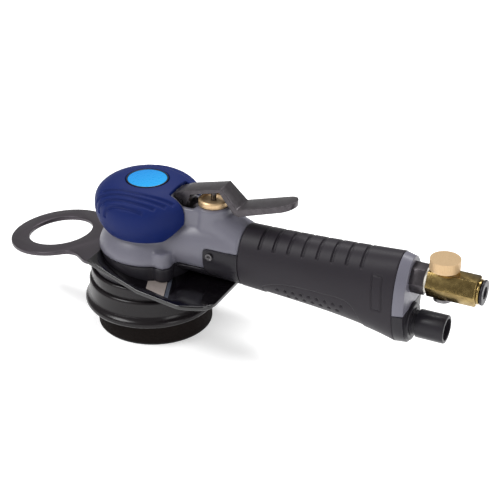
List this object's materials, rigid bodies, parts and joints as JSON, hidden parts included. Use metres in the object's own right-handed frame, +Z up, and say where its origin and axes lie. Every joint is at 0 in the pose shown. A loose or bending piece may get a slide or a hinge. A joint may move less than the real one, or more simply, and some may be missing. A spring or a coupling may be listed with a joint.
{
  "type": "orbital sander",
  "caption": "Air-powered palm sander with a long rubber handle, throttle lever, round sanding pad, dust skirt and outlet, and a steel guard plate with a front ring.",
  "frame": {"origin": "where the motor's axis meets the sanding pad's face", "axes": "+Z up along the motor's axis, +X back along the handle to the air inlet, the guard's ring towards -X"},
  "size_m": [0.325, 0.0944, 0.1072],
  "materials": {
    "grey_nylon": "satin",
    "blue_rubber": "matte",
    "badge_blue": "gloss",
    "black_plastic": "satin",
    "grip_rubber": "matte",
    "skirt_rubber": "satin",
    "pad_foam": "matte",
    "hook_fabric": "matte",
    "black_steel": "satin",
    "guard_steel": "satin",
    "brass": "machined",
    "steel": "machined",
    "bearing_steel": "ground",
    "pad_alloy": "cast",
    "seal_rubber": "matte",
    "white_nylon": "matte"
  },
  "bodies": {
    "tool": {"motor_housing": "grey_nylon", "palm_cover": "blue_rubber", "badge": "badge_blue", "badge_rim": "black_plastic", "lever_bracket": "black_steel", "lever_pin": "steel", "valve_bushing": "brass", "valve_seal": "seal_rubber", "valve_spring": "steel", "handle_grip": "grip_rubber", "end_cap": "grey_nylon", "dust_socket": "black_plastic", "dust_duct": "black_plastic", "side_cover_right": "black_plastic", "side_cover_left": "black_plastic", "cover_screws": "steel", "inlet_bushing": "black_steel", "inlet_washer": "white_nylon", "inlet_screen": "steel", "regulator_body": "brass", "inlet_collar": "brass", "shroud_base": "black_plastic", "base_screws": "steel", "guard_plate": "guard_steel", "skirt": "skirt_rubber", "skirt_clamp_ring": "steel", "lock_ring": "steel", "upper_end_plate": "steel", "lower_end_plate": "steel", "motor_cylinder": "steel", "upper_bearing": "bearing_steel", "lower_bearing": "bearing_steel"},
    "rotor_group": {"rotor": "steel", "rotor_vanes": "black_plastic", "eccentric_shaft": "steel", "counterweight": "steel", "spindle_bearing": "bearing_steel", "bearing_clip": "steel"},
    "pad": {"spindle": "steel", "pad_plate": "pad_alloy", "pad_foam": "pad_foam", "hook_face": "hook_fabric"},
    "lever_arm": {"lever": "black_steel"},
    "stem": {"valve_stem": "steel"},
    "knob": {"regulator_knob": "brass", "regulator_clip": "steel"},
    "outlet": {"dust_tube": "black_plastic", "tube_clip": "steel"},
    "plug": {"inlet_plug": "black_plastic"}
  },
  "joints": [
    {"name": "rotor_spin", "type": "hinge", "parent": "tool", "child": "rotor_group", "pos_m": [0, 0, 0.05], "axis": [0, 0, 1], "continuous": true},
    {"name": "pad_spin", "type": "hinge", "parent": "rotor_group", "child": "pad", "pos_m": [0.0025, 0, 0.03], "axis": [0, 0, 1], "continuous": true},
    {"name": "lever_press", "type": "hinge", "parent": "tool", "child": "lever_arm", "pos_m": [0.027, 0, 0.0925], "axis": [0, 1, 0], "range_deg": [0, 8.5], "stiffness_Nm_per_rad": 0.8, "springref_deg": -14.32},
    {"name": "stem_press", "type": "slide", "parent": "tool", "child": "stem", "axis": [0, 0, -1], "range_m": [0, 0.0036], "deforming": ["valve_spring"]},
    {"name": "regulator_turn", "type": "hinge", "parent": "tool", "child": "knob", "pos_m": [0.1982, 0, 0.0738], "axis": [0, 0, 1], "range_deg": [0, 90]},
    {"name": "outlet_swivel", "type": "hinge", "parent": "tool", "child": "outlet", "pos_m": [0.19, 0, 0.043], "axis": [1, 0, 0], "continuous": true},
    {"name": "plug_pull", "type": "slide", "parent": "tool", "child": "plug", "axis": [1, 0, 0], "range_m": [0, 0.014]}
  ],
  "couplings": [
    {"joint": "stem_press", "follows": "lever_press", "m_per_rad": 0.0228}
  ]
}
